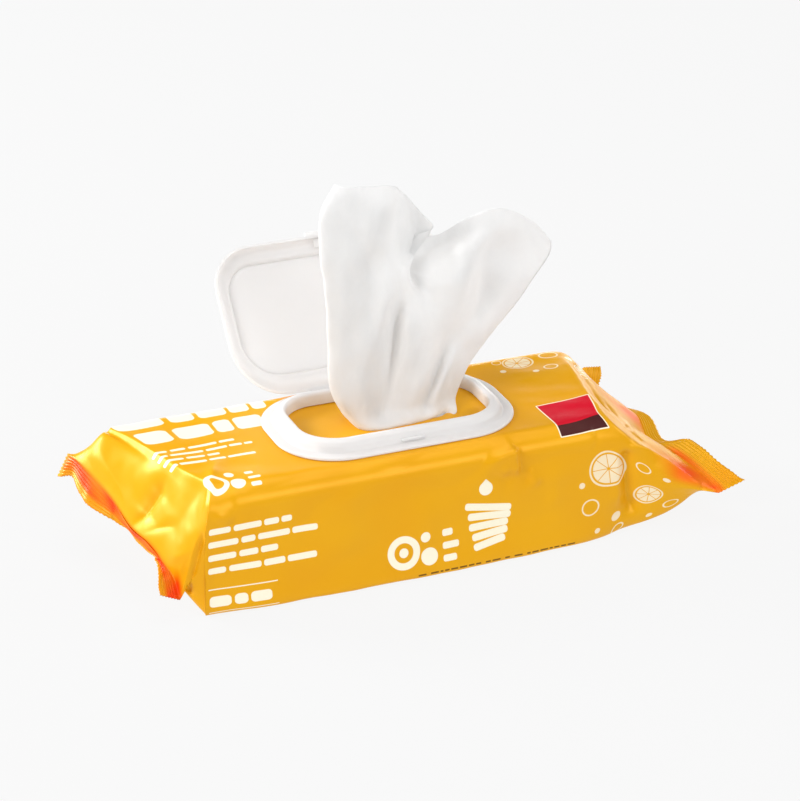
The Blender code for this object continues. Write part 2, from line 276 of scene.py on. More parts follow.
# place of each ring and column on the flat film, mm
RING_X = np.array([-156, -143, -131, -118, -109, -106.5, -103.6, *BODY_X, 103, 115, 127, 139, 152], float)
LAST = len(RING_X) - 1
SEAM_R = LAST - 1
sec = np.array(widen([(0, y, z) for y, z in SECTION]))[:, 1:]
steps = np.linalg.norm(np.roll(sec, -1, 0) - sec, axis=1)
COLUMN_T = np.concatenate([[0], np.cumsum(steps)])          # 25 values, back middle round to itself
TOP_T = COLUMN_T[5] + (COLUMN_T[6] - COLUMN_T[5]) * (sec[5, 0]) / (sec[5, 0] - sec[6, 0])
COLUMN_T = COLUMN_T - TOP_T
GIRTH = COLUMN_T[24] - COLUMN_T[0]


def cubic(t):
    """Weights of the four points of a uniform cubic B-spline."""
    return np.array([(1 - t) ** 3, 3 * t ** 3 - 6 * t ** 2 + 4, -3 * t ** 3 + 3 * t ** 2 + 3 * t + 1, t ** 3]) / 6


# rows of the fine film: span 0 is the left fin, the last one the right fin
ROWS = [31, 16, 16, 14, 6, 6, 17, 22, 26, 23, 23, 26, 20, 18, 14, 14, 14, 31]
COLS = [10, 9, 8, 10, 10, 15, 14, 15, 10, 9, 11, 13]        # and the same mirrored below
u_of_row = np.concatenate([k + np.arange(n) / n for k, n in enumerate(ROWS)] + [[float(LAST)]])
cols = COLS + COLS[::-1]
v_of_col = np.concatenate([k + np.arange(n) / n for k, n in enumerate(cols)])
NI, NJ = len(u_of_row), len(v_of_col)


def row_weights():
    w = np.zeros((NI, LAST + 1))
    for i, u in enumerate(u_of_row):
        if u <= 1:
            w[i, 0], w[i, 1] = 1 - u, u
        elif u >= SEAM_R:
            w[i, SEAM_R], w[i, LAST] = LAST - u, u - SEAM_R
        else:
            k = min(int(u), SEAM_R - 1)
            for off, c in zip((-1, 0, 1, 2), cubic(u - k)):
                r = k + off
                if r < 1:          # runs straight on past the seam
                    w[i, 1] += 2 * c; w[i, 2] -= c
                elif r > SEAM_R:
                    w[i, SEAM_R] += 2 * c; w[i, SEAM_R - 1] -= c
                else:
                    w[i, r] += c
    return w


def column_weights():
    w = np.zeros((NJ, 24))
    for j, v in enumerate(v_of_col):
        k = int(v)
        for off, c in zip((-1, 0, 1, 2), cubic(v - k)):
            w[j, (k + off) % 24] += c
    return w


WR, WC = row_weights(), column_weights()
P = np.einsum("ir,jc,rcx->ijx", WR, WC, CAGE)
SX = np.repeat((WR @ RING_X)[:, None], NJ, 1)
t_cols = []
for v in v_of_col:
    k = int(v)
    s = 0
    for off, c in zip((-1, 0, 1, 2), cubic(v - k)):
        q = k + off
        s += c * (COLUMN_T[q % 24] + GIRTH * (q // 24))
    t_cols.append(s)
ST = np.repeat(np.array(t_cols)[None, :], NI, 0)
MIRROR = (-np.arange(NJ)) % NJ
TOP = (v_of_col <= 12)
du_left, du_right = 1 - u_of_row, u_of_row - SEAM_R             # above 0 in the fins


def normals(p):
    a = np.empty_like(p)
    a[1:-1] = p[2:] - p[:-2]
    a[0], a[-1] = p[1] - p[0], p[-1] - p[-2]
    b = np.roll(p, -1, 1) - np.roll(p, 1, 1)
    n = np.cross(b, a)
    l = np.linalg.norm(n, axis=-1, keepdims=True)
    n = n / np.maximum(l, 1e-9)
    return n


def line_point(points, t):
    """Catmull-Rom through the points, at places t counted in points."""
    p = np.asarray(points, float)
    e = np.vstack([2 * p[0] - p[1], p, 2 * p[-1] - p[-2]])
    k = np.minimum(t.astype(int), len(p) - 2)
    s = (t - k)[:, None]
    a, b, c, d = e[k], e[k + 1], e[k + 2], e[k + 3]
    return 0.5 * (2 * b + (c - a) * s + (2 * a - 5 * b + 4 * c - d) * s ** 2 + (3 * b - 3 * c + d - a) * s ** 3)


# the seams and cuts run exactly through their points, and the body follows close to them
run_len = np.concatenate([[0], np.cumsum(np.linalg.norm(np.diff(P[:, NJ // 4], axis=0), axis=1))])
T_FINE = np.interp(np.where(TOP, v_of_col, 24 - v_of_col), np.arange(13), ALONG)
row_l, row_r = int(np.searchsorted(u_of_row, 1.0)), int(np.searchsorted(u_of_row, float(SEAM_R)))
for seam_line, cut_line, s_row, c_row, fin, length in (
        (LEFT_SEAM, LEFT_CUT, row_l, 0, np.clip(du_left, 0, 1), run_len - run_len[row_l]),
        (RIGHT_SEAM, RIGHT_CUT, row_r, NI - 1, np.clip(du_right, 0, 1), run_len[row_r] - run_len)):
    d_seam = line_point(seam_line, T_FINE) - (P[s_row] + P[s_row][MIRROR]) / 2
    d_cut = line_point(cut_line, T_FINE) - (P[c_row] + P[c_row][MIRROR]) / 2
    fade = np.exp(-(np.clip(length, 0, None) / 11) ** 1.5) * (1 - fin)
    P = P + fade[:, None, None] * d_seam[None] + fin[:, None, None] * d_cut[None]
P[..., 2] = np.maximum(P[..., 2], 0.35)

N = normals(P)
# outwards: at the top middle of the body the normal points up
if N[NI // 2, NJ // 4, 2] < 0:
    N = -N
    FLIP = -1
else:
    FLIP = 1

# how far into the body a row is, from the nearest seam, mm
to_left = np.linalg.norm(np.diff(P[:, NJ // 4], axis=0), axis=1)
arc = np.concatenate([[0], np.cumsum(to_left)])
seam_l = arc[np.searchsorted(u_of_row, 1.0)]
seam_r = arc[np.searchsorted(u_of_row, float(SEAM_R))]
FROM_SEAM = np.minimum(arc - seam_l, seam_r - arc)[:, None]
BODY = smooth(0, 10, FROM_SEAM)

quads_i, quads_j = np.meshgrid(np.arange(NI - 1), np.arange(NJ), indexing="ij")
IDX = np.arange(NI * NJ).reshape(NI, NJ)


def film_quads():
    a = IDX[quads_i, quads_j]
    b = IDX[quads_i, (quads_j + 1) % NJ]
    c = IDX[quads_i + 1, (quads_j + 1) % NJ]
    d = IDX[quads_i + 1, quads_j]
    return np.stack([a, b, c, d], -1)


base_tree = BVHTree.FromPolygons([Vector(v) for v in P.reshape(-1, 3) * MM],
                                 film_quads().reshape(-1, 4).tolist())


def film_at(px, py):
    """The film point that shows at an image point: place in mm and grid cell."""
    hit, normal, face, dist = base_tree.ray_cast(EYE, sight(px, py))
    if hit is None:
        raise ValueError("no film at %g, %g" % (px, py))
    return np.array(hit) / MM, divmod(face, NJ)


def print_at(px, py):
    """Place on the flat film of an image point, (along, across) in mm."""
    hit, (i, j) = film_at(px, py)
    cell = [(i, j), (i, (j + 1) % NJ), (i + 1, (j + 1) % NJ), (i + 1, j)]
    w = np.array([1 / (np.linalg.norm(P0[a, b] - hit) + 1e-6) for a, b in cell])
    w /= w.sum()
    return (float(sum(k * SX[c] for k, c in zip(w, cell))), float(sum(k * ST[c] for k, c in zip(w, cell))))


P0 = P.copy()


def along_line(points, where):
    """Distance to a polyline, place along it 0 to 1, and side, for each film vertex."""
    pts = np.asarray(points, float)
    seg = np.linalg.norm(np.diff(pts, axis=0), axis=1)
    cum = np.concatenate([[0], np.cumsum(seg)])
    best = np.full(where.shape[:-1], 1e9)
    t_best = np.zeros(where.shape[:-1])
    near = np.zeros(where.shape)
    direction = np.zeros(where.shape)
    for k in range(len(seg)):
        a, d = pts[k], pts[k + 1] - pts[k]
        t = np.clip(((where - a) @ d) / (seg[k] ** 2 + 1e-9), 0, 1)
        q = a + t[..., None] * d
        dist = np.linalg.norm(where - q, axis=-1)
        m = dist < best
        best[m] = dist[m]
        t_best[m] = (cum[k] + t[m] * seg[k]) / cum[-1]
        near[m] = q[m]
        direction[m] = d / (seg[k] + 1e-9)
    return best, t_best, near, direction


def smooth_line(points, n=6):
    """Catmull-Rom through the points."""
    p = np.asarray(points, float)
    if len(p) < 3:
        return p
    e = np.vstack([2 * p[0] - p[1], p, 2 * p[-1] - p[-2]])
    out = []
    for k in range(1, len(e) - 2):
        for s in np.arange(n) / n:
            a, b, c, d = e[k - 1], e[k], e[k + 1], e[k + 2]
            out.append(0.5 * ((2 * b) + (c - a) * s + (2 * a - 5 * b + 4 * c - d) * s ** 2 + (3 * b - 3 * c + d - a) * s ** 3))
    out.append(p[-1])
    return np.array(out)


def line_on_film(points):
    """2D points are image points, 3D points are places in mm."""
    out = []
    mid = np.mean([p[:2] for p in points], axis=0)
    for p in points:
        if len(p) == 3:
            out.append(np.array(p, float))
            continue
        for share in (0, 0.05, 0.1, 0.15, 0.2, 0.3, 0.4):      # a point just off the film moves on to it
            q = np.array(p) + share * (mid - p)
            try:
                out.append(film_at(*q)[0])
                break
            except ValueError:
                pass
        else:
            raise ValueError("no film near %g, %g" % tuple(p))
    return smooth_line(out)


def crease(points, width, height, power=1.0, ends=(0.35, 0.35), lean=0.0, facing=0.1):
    """A sharp ridge (height > 0) or valley (height < 0) in the film along a line.
    lean makes one flank wider than the other; ends are the shares over which it fades."""
    line = line_on_film(points)
    d, t, near, direction = along_line(line, P)
    # normals at the line, for the side and to keep the other wall of the pack still
    side = np.einsum("ijx,ijx->ij", np.cross(direction, N), P - near)
    w = width * (1 + lean * np.tanh(side / width))
    shape = np.exp(-(d / w) ** power)
    fade = np.ones_like(t)
    if ends[0]:
        fade = fade * smooth(0, ends[0], t)
    if ends[1]:
        fade = fade * smooth(0, ends[1], 1 - t)
    k = int(len(line) / 2)
    mid = np.linalg.norm(P - line[k], axis=-1).argmin()
    ref = N.reshape(-1, 3)[mid]
    same = smooth(facing - 0.25, facing + 0.25, N @ ref)
    return (height * shape * fade * same * BODY)[..., None] * N


def step(points, width, height, reach=12.0, ends=(0.3, 0.3), facing=0.1):
    """The film stands higher on one side of a line than on the other."""
    line = line_on_film(points)
    d, t, near, direction = along_line(line, P)
    side = np.einsum("ijx,ijx->ij", np.cross(direction, N), P - near)
    shape = np.tanh(side / width) * np.exp(-(d / reach) ** 2)
    fade = smooth(0, ends[0], t) * smooth(0, ends[1], 1 - t)
    k = int(len(line) / 2)
    mid = np.linalg.norm(P - line[k], axis=-1).argmin()
    same = smooth(facing - 0.25, facing + 0.25, N @ N.reshape(-1, 3)[mid])
    return (height * shape * fade * same * BODY)[..., None] * N


# ---- the film: folds, dents and creases -------------------------------------------------
moves = []
# soft unevenness of the film over the stack, more towards the ends
loose = smooth(60, 5, FROM_SEAM)
flat_top = smooth(0.9, 0.97, N[..., 2]) * smooth(78, 62, np.abs(P[..., 0]))    # drawn tight under the lid's frame
base = smooth(-0.9, -0.97, N[..., 2])
soft = (1 - 0.85 * flat_top) * (1 - 0.9 * base) * BODY
moves.append(((0.28 + 0.15 * loose) * soft * waves(P, 46, 3, 2))[..., None] * N)
moves.append(((0.06 + 0.05 * loose) * soft * waves(P * np.array([0.55, 1, 1]), 13, 5, 2))[..., None] * N)

CREASES = [
    # left end: valley folds that run into the seam, and the ridges beside them
    ([(170, 473), (150, 500), (131, 527)], 8.0, -3.4, 1.0, (0.35, 0.02), 0),
    ([(166, 480), (149, 503), (131, 527)], 1.4, -0.9, 1.0, (0.35, 0.05), 0),
    ([(182, 524), (160, 527), (140, 534)], 2.4, -1.1, 1.0, (0.4, 0.1), 0),
    ([(97, 438), (106, 462), (120, 490), (130, 524)], 5.0, 0.9, 1.0, (0.3, 0.1), 0),
    ([(86, 455), (96, 474), (110, 497)], 1.6, -1.0, 1.0, (0.3, 0.2), 0),
    # gusset at the left, beside the front edge
    ([(204, 530), (200, 545), (193, 575), (186, 598)], 2.2, -2.4, 1.0, (0.25, 0.02), 0),
    ([(200, 533), (194, 550), (186, 580), (179, 597)], 1.4, 1.1, 1.0, (0.2, 0.05), 0),
    ([(205.5, 526), (207, 560), (208.5, 606)], 1.6, 0.9, 0.9, (0.12, 0.0), 0),
    ([(216, 458), (210, 490), (206, 522)], 3.0, 1.5, 1.0, (0.4, 0.2), 0),
    ([(223, 455), (215, 468), (210, 482)], 4.0, 0.9, 1.2, (0.4, 0.4), 0),
    ([(168, 560), (180, 556), (192, 551)], 2.4, 0.8, 1.2, (0.4, 0.4), 0),
    ([(168, 564), (173, 580), (179, 598)], 1.8, -1.6, 1.0, (0.4, 0.05), 0),
    # front panel
    ([(212, 521), (222, 517), (232, 524)], 2.0, 1.6, 1.0, (0.4, 0.3), 0),
    ([(480, 468), (498, 458), (515, 448)], 2.8, 2.6, 1.0, (0.5, 0.05), 0),
    ([(512, 446), (515, 461), (517, 478)], 3.8, 4.0, 1.0, (0.22, 0.4), 0.6),
    ([(519, 450), (524, 466), (531, 487)], 3.0, -1.9, 1.0, (0.25, 0.3), 0),
    ([(484, 472), (500, 477), (516, 481)], 3.0, -1.3, 1.0, (0.4, 0.3), 0),
    ([(478, 458), (492, 466), (512, 470)], 7.0, 1.2, 1.2, (0.4, 0.2), 0),
    ([(400, 478), (440, 474), (470, 480)], 7.0, -0.8, 1.4, (0.4, 0.4), 0),
    ([(548, 455), (556, 490), (548, 520)], 6.0, 1.3, 1.3, (0.4, 0.4), 0),
    ([(418, 490), (424, 520), (420, 556)], 10.0, 1.1, 1.5, (0.4, 0.3), 0),
    ([(240, 520), (262, 545), (300, 560)], 9.0, -0.8, 1.5, (0.4, 0.4), 0),
    ([(526, 466), (532, 475), (540, 486)], 2.2, 2.4, 1.0, (0.3, 0.4), 0),
    ([(348, 462), (352, 500), (350, 560)], 9.0, 1.0, 1.6, (0.4, 0.3), 0),
    ([(300, 470), (306, 520), (304, 570)], 9.0, -0.4, 1.6, (0.4, 0.3), 0),
    ([(560, 470), (545, 500), (548, 530)], 8.0, -0.5, 1.6, (0.4, 0.3), 0),
    # right end
    ([(627, 448), (628, 480), (631, 500), (637, 516)], 4.2, -4.6, 1.1, (0.12, 0.2), 0.3),
    ([(617, 446), (617, 480), (620, 512)], 4.0, 2.6, 1.1, (0.25, 0.3), 0),
    ([(628, 446), (648, 451), (675, 468), (702, 487)], 1.8, 2.0, 0.9, (0.1, 0.05), 0),
    ([(561, 355), (575, 376), (590, 400), (610, 425), (640, 447)], 3.2, 1.8, 1.0, (0.15, 0.15), 0),
    ([(570, 357), (586, 380), (600, 398), (618, 418)], 3.0, -1.3, 1.0, (0.2, 0.2), 0),
    ([(600, 395), (614, 410), (632, 432)], 1.6, -1.6, 1.0, (0.3, 0.2), 0),
    ([(588, 388), (602, 401), (618, 420)], 1.4, -1.2, 1.0, (0.3, 0.2), 0),
    ([(625, 418), (632, 430), (645, 442)], 1.3, 1.0, 1.0, (0.3, 0.1), 0),
]
for pts, width, height, power, ends, lean in CREASES:
    try:
        moves.append(crease(pts, width, height, power, ends, lean))
    except ValueError as e:
        print("crease left out:", e)

# folds that gather the film into the seals, all round both ends
r = np.random.default_rng(11)
gather = np.zeros((NI, NJ))
for end in (0, 1):
    length = (arc - seam_l) if end == 0 else (seam_r - arc)
    for _ in range(13):
        v0 = r.uniform(0, 24)
        reach = r.uniform(6, 15)
        width = r.uniform(0.10, 0.22)
        drift = r.uniform(-0.5, 0.5)
        height = r.uniform(0.2, 0.6) * r.choice([-1, 1])
        dv = np.abs((v_of_col[None, :] - v0 - drift * length[:, None] / 30 + 12) % 24 - 12)
        fall = np.exp(-np.clip(length, 0, None) / reach)[:, None]
        gather += height * np.exp(-(dv / (width * (1 + 0.05 * np.clip(length, 0, None))[:, None]))) * fall
moves.append((gather * BODY * (length[:, None] > -1e9))[..., None] * N)

for m in moves:
    P = P + m

# soft the result a little, so that no crease is sharper than the grid
def blur(p, times, weight):
    for _ in range(times):
        q = p.copy()
        mean = (np.roll(p, 1, 1) + np.roll(p, -1, 1)) / 2
        q = q + weight * (mean - q)
        q[1:-1] += weight * ((p[2:] + p[:-2]) / 2 - p[1:-1])
        p = q
    return p


P = blur(P, 1, 0.25)
P[..., 2] = np.maximum(P[..., 2], 0.35)
# the film stays clear of the stack inside it
low_s, high_s = (np.array(c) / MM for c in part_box("wipe_stack"))
mid_s, half_s, round_s, room = (low_s + high_s) / 2, (high_s - low_s) / 2, 9.0, 0.5
q = np.maximum(np.abs(P - mid_s) - (half_s - round_s), 0)
dist = np.linalg.norm(q, axis=-1) - round_s
way = np.sign(P - mid_s) * q
way /= np.linalg.norm(way, axis=-1, keepdims=True) + 1e-9
push = np.where((dist > -6) & (dist < room), room - dist, 0) * (N[..., 2] > -0.9)
P = P + push[..., None] * way

# fins: crimp ribs parallel to the cut, a zigzag cut, and a wavy lie
fin_n = np.zeros((NI, NJ, 3))
for side_rows, seam_row in ((u_of_row <= 1, int(np.searchsorted(u_of_row, 1.0))),
                            (u_of_row >= SEAM_R, int(np.searchsorted(u_of_row, float(SEAM_R))))):
    rows = np.where(side_rows)[0]
    other = rows[0] if rows[0] == 0 else rows[-1]
    across = P[seam_row] - P[other]
    run = np.roll(P[seam_row], -1, 0) - np.roll(P[seam_row], 1, 0)
    n = np.cross(run, across)
    n = np.where(TOP[:, None], n, n[MIRROR])
    n = np.where((n[:, 2:3] < 0), -n, n)
    n /= np.linalg.norm(n, axis=1, keepdims=True) + 1e-9
    for _ in range(6):
        n = (np.roll(n, 1, 0) + n + np.roll(n, -1, 0)) / 3
    n /= np.linalg.norm(n, axis=1, keepdims=True) + 1e-9
    fin_n[rows] = n[None]
    f = du_left[rows] if rows[0] == 0 else du_right[rows]            # 0 seam to 1 cut
    width_mm = 13.0
    rib = 0.30 * np.sin(2 * pi * f * width_mm / 1.9)[:, None] * (smooth(0.03, 0.12, f) * smooth(1.0, 0.9, f))[:, None]
    v = v_of_col
    wave = (0.35 * np.sin(v * 2.1 + 1) + 0.25 * np.sin(v * 4.7 + 2))
    wave = np.where(TOP, wave, wave[MIRROR])
    lie = (f ** 1.3)[:, None] * wave[None]
    P[rows] += (rib + lie)[..., None] * n[None]
    # zigzag cut
    tooth_v = np.abs(((np.where(TOP, v, 24 - v) * 9.0) % 2) - 1) * 2 - 1
    reach = 0.32 * (f ** 6)[:, None] * tooth_v[None]
    out = P[other] - P[seam_row]
    out /= np.linalg.norm(out, axis=1, keepdims=True) + 1e-9
    P[rows] += reach[..., None] * out[None]

# ---- the film's mesh, with the die-cut opening ------------------------------------------
quads = film_quads()
MOUTH_X, MOUTH_L, MOUTH_W = 8.0, 44.0, 15.0


def slot_distance(x, y):
    """Distance outside a slot with round ends, below 0 inside."""
    half = MOUTH_L / 2 - MOUTH_W / 2
    dx = np.maximum(np.abs(x - MOUTH_X) - half, 0)
    return np.hypot(dx, y) - MOUTH_W / 2


top_side = P[..., 2] > 50
inside = (slot_distance(P[..., 0], P[..., 1]) < -0.45) & top_side
gone = inside[quads_i, quads_j] | inside[quads_i, (quads_j + 1) % NJ] | \
    inside[quads_i + 1, (quads_j + 1) % NJ] | inside[quads_i + 1, quads_j]
near_slot = (np.abs(slot_distance(P[..., 0], P[..., 1])) < 1.2) & top_side & ~inside
rim = np.zeros((NI, NJ), bool)
for a, b in ((0, 0), (0, 1), (1, 0), (1, 1)):
    rim[quads_i[gone] + a, (quads_j[gone] + b) % NJ] = True
rim &= ~inside
d = slot_distance(P[..., 0], P[..., 1])
half = MOUTH_L / 2 - MOUTH_W / 2
cx = MOUTH_X + np.clip(P[..., 0] - MOUTH_X, -half, half)
ox, oy = P[..., 0] - cx, P[..., 1]
l = np.hypot(ox, oy) + 1e-9
P[..., 0] = np.where(rim, cx + ox / l * MOUTH_W / 2, P[..., 0])
P[..., 1] = np.where(rim, oy / l * MOUTH_W / 2, P[..., 1])
P[..., 2] = np.where(rim, P[..., 2] - 0.5, P[..., 2])

kept = quads[~gone]
ends = []
for row, back in ((0, False), (NI - 1, True)):
    for j in range(NJ // 2):
        a, b, c, e = IDX[row, j], IDX[row, j + 1], IDX[row, (NJ - j - 1) % NJ], IDX[row, (NJ - j) % NJ]
        face = [a, b, c, e] if j and j < NJ // 2 - 1 else ([a, b, c] if j == 0 else [a, b, e])
        ends.append(face[::-1] if back else face)
used = np.unique(np.concatenate([kept.ravel(), np.concatenate(ends)]))
new_index = np.full(NI * NJ, -1)
new_index[used] = np.arange(len(used))
kept = new_index[kept]
if FLIP > 0:
    kept = kept[:, ::-1]
end_faces = [[int(new_index[i]) for i in f] for f in ends]
film = make_mesh("film_skin", P.reshape(-1, 3)[used], kept, end_faces)
face_out(film)
flat = np.stack([SX, ST, np.zeros_like(SX)], -1).reshape(-1, 3)[used]
# kept per face corner, so that the sheet closes on itself at the back without a jump
corner = np.empty(len(film.data.loops), int)
start, total = np.empty(len(film.data.polygons), int), np.empty(len(film.data.polygons), int)
film.data.loops.foreach_get("vertex_index", corner)
film.data.polygons.foreach_get("loop_start", start)
film.data.polygons.foreach_get("loop_total", total)
flat_c = flat[corner]
face_of = np.repeat(np.arange(len(start)), total)
hi, lo = np.maximum.reduceat(flat_c[:, 1], start), np.minimum.reduceat(flat_c[:, 1], start)
wrapped = (hi - lo > GIRTH / 2)[face_of] & (flat_c[:, 1] < ((hi + lo) / 2)[face_of])
flat_c[wrapped, 1] += GIRTH
attr = film.data.attributes.new("sheet", "FLOAT_VECTOR", "CORNER")
attr.data.foreach_set("vector", flat_c.astype(np.float32).ravel())
# painted shade: a deeper orange-red painted into the fins and the tucks beside them, in place of the shade and yellow
# bounce light in these folds
painted_fold_shade = np.zeros((NI, NJ))
v_top = np.where(TOP, v_of_col, 24 - v_of_col)[None, :]
left_len, right_len = (arc - seam_l)[:, None], (seam_r - arc)[:, None]
fin_l, fin_r = np.clip(du_left, 0, 1)[:, None], np.clip(du_right, 0, 1)[:, None]
painted_fold_shade = np.maximum(painted_fold_shade, smooth(2.0, -1.5, left_len) * (1 - 0.75 * smooth(0.55, 0.8, fin_l)) * smooth(0.2, 1.2, v_top))
painted_fold_shade = np.maximum(painted_fold_shade, smooth(8.0, 1.0, left_len) * smooth(10.4, 11.3, v_top) * (1 - 0.85 * smooth(0.1, 0.45, fin_l)))
painted_fold_shade = np.maximum(painted_fold_shade, smooth(29.0, 9.0, right_len) * smooth(9.3, 10.6, v_top) * smooth(12.0, 11.2, v_top) * (1 - 0.9 * smooth(0.0, 0.22, fin_r)) * TOP[None, :])
painted_fold_shade = np.maximum(painted_fold_shade, smooth(4.0, 0.0, right_len) * smooth(7.6, 8.8, v_top) * (1 - smooth(0.1, 0.4, fin_r)) * 0.7)
painted_fold_shade = np.maximum(painted_fold_shade, smooth(12.0, 5.0, right_len) * smooth(1.4, 2.4, v_top) * smooth(5.0, 4.0, v_top) * (1 - fin_r) * 0.5)
painted_fold_shade = np.maximum(painted_fold_shade, smooth(34.0, 3.0, right_len) * np.exp(-((v_top - 5.9) / 0.42) ** 2) * (1 - smooth(0.0, 0.25, fin_r)) * 0.8 * TOP[None, :])
painted_fold_shade = painted_fold_shade * (0.82 + 0.18 * np.sin(SX * 0.31 + ST * 0.22))
attr = film.data.attributes.new("painted_fold_shade", "FLOAT", "POINT")
attr.data.foreach_set("value", painted_fold_shade.reshape(-1)[used].astype(np.float32))


# ---- node tools ------------------------------------------------------------------------
class Tree:
    def __init__(self, name):
        self.mat = bpy.data.materials.new(name)
        self.mat.use_nodes = True
        self.t = self.mat.node_tree
        self.shader = self.t.nodes["Principled BSDF"]
        self.out = self.t.nodes["Material Output"]

    def node(self, kind, **settings):
        n = self.t.nodes.new(kind)
        for k, v in settings.items():
            setattr(n, k, v)
        return n

    def link(self, value, socket):
        if isinstance(value, bpy.types.NodeSocket):
            self.t.links.new(value, socket)
        elif value is not None:
            socket.default_value = value

    def math(self, op, a, b=None, c=None, clamp=False):
        n = self.node("ShaderNodeMath", operation=op, use_clamp=clamp)
        for s, v in zip(n.inputs, (a, b, c)):
            self.link(v, s)
        return n.outputs[0]

    def vec(self, op, a, b=None, scale=None):
        n = self.node("ShaderNodeVectorMath", operation=op)
        self.link(a, n.inputs[0])
        self.link(b, n.inputs[1])
        if scale is not None:
            self.link(scale, n.inputs["Scale"])
        return n.outputs["Value"] if op in ("LENGTH", "DOT_PRODUCT", "DISTANCE") else n.outputs["Vector"]

    def mix(self, fac, a, b):
        n = self.node("ShaderNodeMix", data_type="RGBA")
        self.link(fac, n.inputs[0])
        for s, v in ((n.inputs[6], a), (n.inputs[7], b)):
            self.link((*v, 1) if isinstance(v, tuple) and len(v) == 3 else v, s)
        return n.outputs[2]

    def noise(self, vector, scale, detail=3.0, rough=0.5, distortion=0.0):
        n = self.node("ShaderNodeTexNoise")
        self.link(vector, n.inputs["Vector"])
        n.inputs["Scale"].default_value = scale
        n.inputs["Detail"].default_value = detail
        n.inputs["Roughness"].default_value = rough
        n.inputs["Distortion"].default_value = distortion
        return n.outputs["Fac"]

    def ramp(self, value, low, high, a=0.0, b=1.0):
        n = self.node("ShaderNodeMapRange")
        n.clamp = True
        self.link(value, n.inputs[0])
        for k, v in zip((1, 2, 3, 4), (low, high, a, b)):
            n.inputs[k].default_value = v
        return n.outputs[0]

    def bump(self, height, strength, distance, normal=None):
        n = self.node("ShaderNodeBump")
        n.inputs["Strength"].default_value = strength
        n.inputs["Distance"].default_value = distance
        self.link(height, n.inputs["Height"])
        self.link(normal, n.inputs["Normal"])
        return n.outputs[0]


